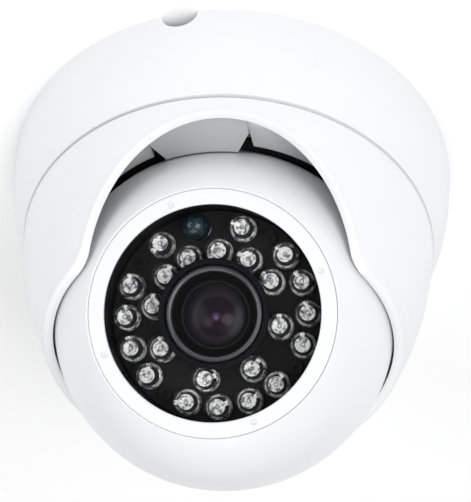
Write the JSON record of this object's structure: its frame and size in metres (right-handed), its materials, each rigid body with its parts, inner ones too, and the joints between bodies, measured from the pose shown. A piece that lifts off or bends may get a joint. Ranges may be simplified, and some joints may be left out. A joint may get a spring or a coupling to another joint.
{
  "type": "dome security camera",
  "caption": "Turret dome security camera: round base, turning cover with a front notch, and a tilting eyeball holding a lens ringed by infrared LEDs.",
  "frame": {"origin": "centre of the base's mounting face", "axes": "+Z from the mounting face towards the dome; the notch in the cover faces -Y at rest"},
  "size_m": [0.093, 0.093, 0.0748],
  "materials": {
    "white_housing": "smooth white semi-gloss",
    "white_bezel": "smooth white semi-gloss",
    "bright_ring": "turned, bright",
    "grey_plate": "light grey satin",
    "black_rubber": "matt black",
    "slip_nylon": "natural nylon",
    "clear_window": "clear, polished",
    "black_board": "black solder mask",
    "green_board": "green solder mask",
    "led_clear": "clear epoxy over a bright cup",
    "photocell_blue": "blue-tinted epoxy",
    "black_metal": "black anodised",
    "lens_glass": "coated glass",
    "filter_glass": "coated glass",
    "steel": "plated",
    "brass": "nickelled brass",
    "sensor_dark": "polished package",
    "socket_white": "moulded"
  },
  "bodies": {
    "base": {"base_housing": "white_housing", "slip_washer": "slip_nylon"},
    "head": {"pan_ring": "bright_ring", "clamp_dogs": "steel", "clamp_screws": "steel", "friction_ring": "black_rubber", "stop_plate": "grey_plate", "stop_plate_rivets": "steel", "dome_cover": "white_housing", "cover_lock_screw": "steel"},
    "eyeball": {"ball_front_shell": "white_housing", "ball_rear_shell": "white_housing", "shell_gasket": "black_rubber", "shell_screws": "steel", "cable_grommet": "black_rubber"},
    "camera": {"bezel_ring": "white_bezel", "window": "clear_window", "window_seal": "black_rubber", "module_drum": "black_metal", "module_retainer": "black_metal", "led_board": "black_board", "led_board_screws": "steel", "ir_leds_outer": "led_clear", "ir_leds_inner": "led_clear", "photocell": "photocell_blue", "light_hood": "black_rubber", "lens_barrel": "black_metal", "lens_front_glass": "lens_glass", "lens_keeper_ring": "black_metal", "lens_rear_glass": "lens_glass", "lens_lock_nut": "black_metal", "lens_holder": "black_metal", "infrared_filter": "filter_glass", "sensor_board": "green_board", "power_board": "green_board", "image_sensor": "sensor_dark", "board_spacers_front": "brass", "board_spacers_rear": "brass", "stack_screws": "steel", "shield_can": "steel", "cable_socket": "socket_white"}
  },
  "joints": [
    {"name": "pan", "type": "hinge", "parent": "base", "child": "head", "pos_m": [0, 0, 0.04074], "axis": [0, 0, 1], "range_deg": [-177.5, 177.5]},
    {"name": "tilt", "type": "hinge", "parent": "head", "child": "eyeball", "pos_m": [0, 0, 0.04074], "axis": [0.9979, 0.0645, 0], "range_deg": [-48.8, 21.2]},
    {"name": "roll", "type": "hinge", "parent": "eyeball", "child": "camera", "pos_m": [0, 0, 0.04074], "axis": [0.0486, -0.7508, 0.6587], "range_deg": [-90, 90]}
  ]
}
